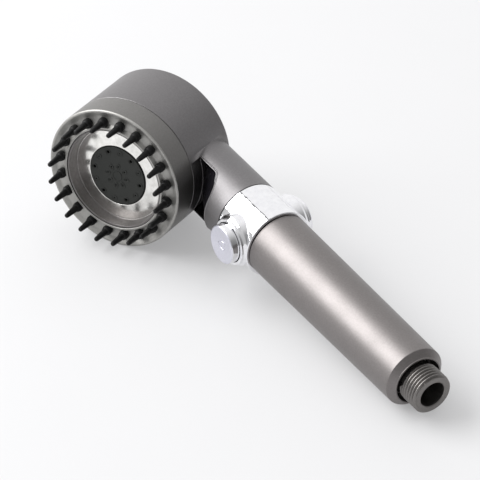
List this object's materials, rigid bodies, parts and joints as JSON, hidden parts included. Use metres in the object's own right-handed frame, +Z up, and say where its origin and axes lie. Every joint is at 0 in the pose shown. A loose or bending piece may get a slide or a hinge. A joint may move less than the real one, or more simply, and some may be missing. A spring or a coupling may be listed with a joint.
{
  "type": "handheld shower head",
  "caption": "Handheld shower head: drum head with a turning spray face and soft pins, push-through stop valve and a filter handle with a threaded inlet.",
  "frame": {"origin": "centre of the bounding box's base: the ground under the shower as it lies on its drum's side and its handle's end", "axes": "+Z up from the ground; the spray face looks along -Y; the handle runs from the head towards +X, leaning towards -Y"},
  "size_m": [0.2508, 0.1112, 0.0748],
  "materials": {
    "satin_ring": "satin titanium grey on ABS, fine soft sheen",
    "satin_shell": "satin titanium grey on ABS, fine soft sheen",
    "satin_handle": "satin titanium grey on ABS, fine soft sheen",
    "satin_thread": "satin grey moulded thread",
    "chrome": "bright chrome plate",
    "button_chrome": "satin chrome plate on the face, bright sides",
    "silicone": "soft black silicone",
    "seal_rubber": "black nitrile rubber",
    "nozzle_resin": "matt dark grey moulded resin",
    "gloss_black": "high gloss black",
    "white_resin": "natural white POM",
    "steel": "bright stainless steel",
    "filter_cotton": "spun polypropylene cotton"
  },
  "bodies": {
    "casing": {"rear_shell": "satin_shell", "neck_insert": "gloss_black", "waterway_tube": "white_resin", "tube_o_ring_1": "seal_rubber", "tube_o_ring_2": "seal_rubber", "water_manifold": "white_resin", "port_gasket": "seal_rubber", "pivot_screw": "steel", "detent_ball": "steel", "detent_spring": "steel", "valve_body": "chrome", "neck_o_ring": "seal_rubber", "handle_o_ring": "seal_rubber", "handle_tube": "satin_handle", "inlet_nipple": "satin_thread", "inlet_screen": "steel", "filter_top_cap": "white_resin", "filter_end_cap": "white_resin", "filter_core": "white_resin", "filter_sleeve": "filter_cotton"},
    "spray_face": {"comb_ring": "satin_ring", "silicone_comb": "silicone", "chrome_dish": "chrome", "nozzle_plate": "nozzle_resin", "face_carrier": "white_resin", "diverter_disc": "white_resin"},
    "stop_valve": {"valve_spool": "white_resin", "spool_o_ring_1": "seal_rubber", "spool_o_ring_2": "seal_rubber", "stop_button": "button_chrome", "rear_button": "button_chrome"}
  },
  "joints": [
    {"name": "face_turn", "type": "hinge", "parent": "casing", "child": "spray_face", "pos_m": [-0.08799, 0.00506, 0.03748], "axis": [0, -1, 0], "range_deg": [0, 90]},
    {"name": "stop_push", "type": "slide", "parent": "casing", "child": "stop_valve", "axis": [0.4415, 0.8968, 0.0295], "range_m": [0, 0.005]}
  ]
}
